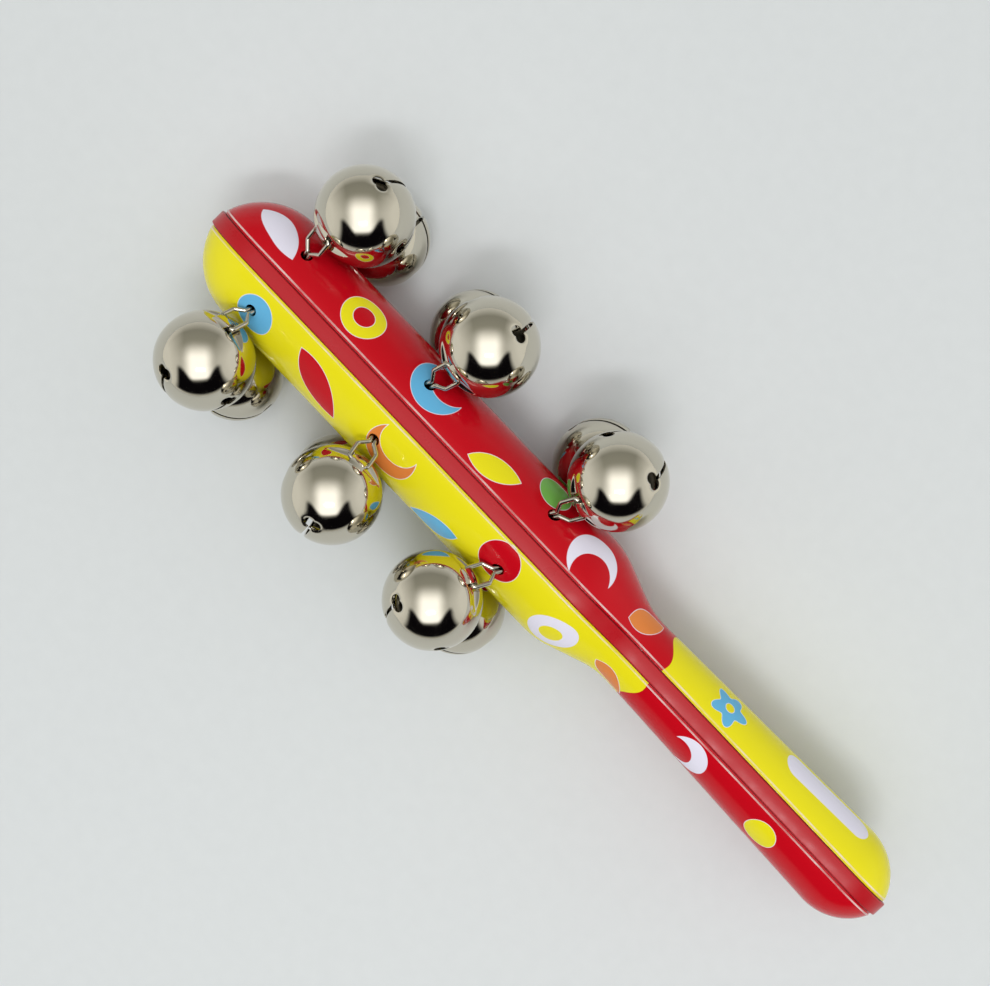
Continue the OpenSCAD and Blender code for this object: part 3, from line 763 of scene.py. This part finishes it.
flag_edge = add(tree, "ShaderNodeMapRange", {
    "Value": aside,
    "From Min": math.radians(FLAG_TOP_ASIDE[0]), "From Max": math.radians(FLAG_TOP_ASIDE[1]),
    "To Min": math.radians(FLAG_TOP_LEAN[0]), "To Max": math.radians(FLAG_TOP_LEAN[1])},
    interpolation_type="SMOOTHSTEP")
past_edge = add(tree, "ShaderNodeMath", {0: lean, 1: flag_edge}, operation="SUBTRACT")
masks = []
for bounds in (((lean, OVERHEAD_FAR), (lean, OVERHEAD_NEAR), (aside, OVERHEAD_ASIDE)),
               ((past_edge, FLAG_TOP), (lean, FLAG_FOOT), (aside, FLAG_ASIDE))):
    mask = 1.0
    for value, (start, end) in bounds:
        side_mask = add(tree, "ShaderNodeMapRange", {
            "Value": value, "From Min": math.radians(start), "From Max": math.radians(end)},
            interpolation_type="SMOOTHSTEP")
        mask = add(tree, "ShaderNodeMath", {0: side_mask, 1: mask}, operation="MULTIPLY")
    masks.append(mask)
overhead, flag = masks
level = add(tree, "ShaderNodeMapRange", {
    "Value": lean, "From Min": -math.pi / 2, "From Max": math.pi / 2})
walls = add(tree, "ShaderNodeValToRGB", {0: level})
walls.color_ramp.elements[0].color = linear("#D2D3CF")
walls.color_ramp.elements[1].color = linear("#C2C2BC")
for position, code in ((0.12, "#92928A"), (0.3, "#9E9E95"), (0.5, "#C4C4BE")):
    walls.color_ramp.elements.new(position).color = linear(code)
bright = add(tree, "ShaderNodeMapRange", {
    "Value": aside, "From Min": BRIGHT_ASIDE[0], "From Max": BRIGHT_ASIDE[1]})
room = walls.outputs["Color"]
for mask, code in ((bright, "#E8E8E3"), (overhead, "#FFFFFF"), (flag, "#0B090C")):
    room = add(tree, "ShaderNodeMix", {
        "Factor": mask, "A": room, "B": linear(code)}, data_type="RGBA").outputs["Result"]
background = tree.nodes["Background"]
tree.links.new(room, background.inputs["Color"])
strength = add(tree, "ShaderNodeMath", {
    0: overhead, 1: OVERHEAD_LEVEL, 2: ROOM_LEVEL}, operation="MULTIPLY_ADD")
tree.links.new(strength.outputs[0], background.inputs["Strength"])

# A long lamp over the near side, in metres and watts
LAMP_SIZE = (0.3, 0.08)
LAMP_POWER = 2.3
LAMP_NEAR = 0.36
LAMP_HIGH = 0.95
lamp = bpy.data.lights.new("ceiling_lamp", "AREA")
lamp.shape = "RECTANGLE"
lamp.size, lamp.size_y = LAMP_SIZE
lamp.energy = LAMP_POWER
lamp_at = near * LAMP_NEAR + Vector((0, 0, LAMP_HIGH))
hung = bpy.data.objects.new("ceiling_lamp", lamp)
hung.matrix_world = Matrix.Translation(lamp_at) @ lamp_at.to_track_quat("Z", "Y").to_matrix().to_4x4()
bpy.context.scene.collection.objects.link(hung)

camera = bpy.data.objects.new("camera", bpy.data.cameras.new("camera"))
back = (CAMERA_AT - CAMERA_LOOKS_AT).normalized()
right = CAMERA_UP.cross(back).normalized()
facing = Matrix((right, back.cross(right), back)).transposed().to_4x4()
camera.matrix_world = Matrix.Translation(CAMERA_AT * MM) @ facing
camera.data.sensor_width = SENSOR
camera.data.sensor_fit = "HORIZONTAL"
camera.data.lens = CAMERA_LENS
camera.data.clip_start = 0.01
bpy.context.scene.collection.objects.link(camera)
bpy.context.scene.camera = camera
bpy.context.scene.view_settings.view_transform = "Standard"
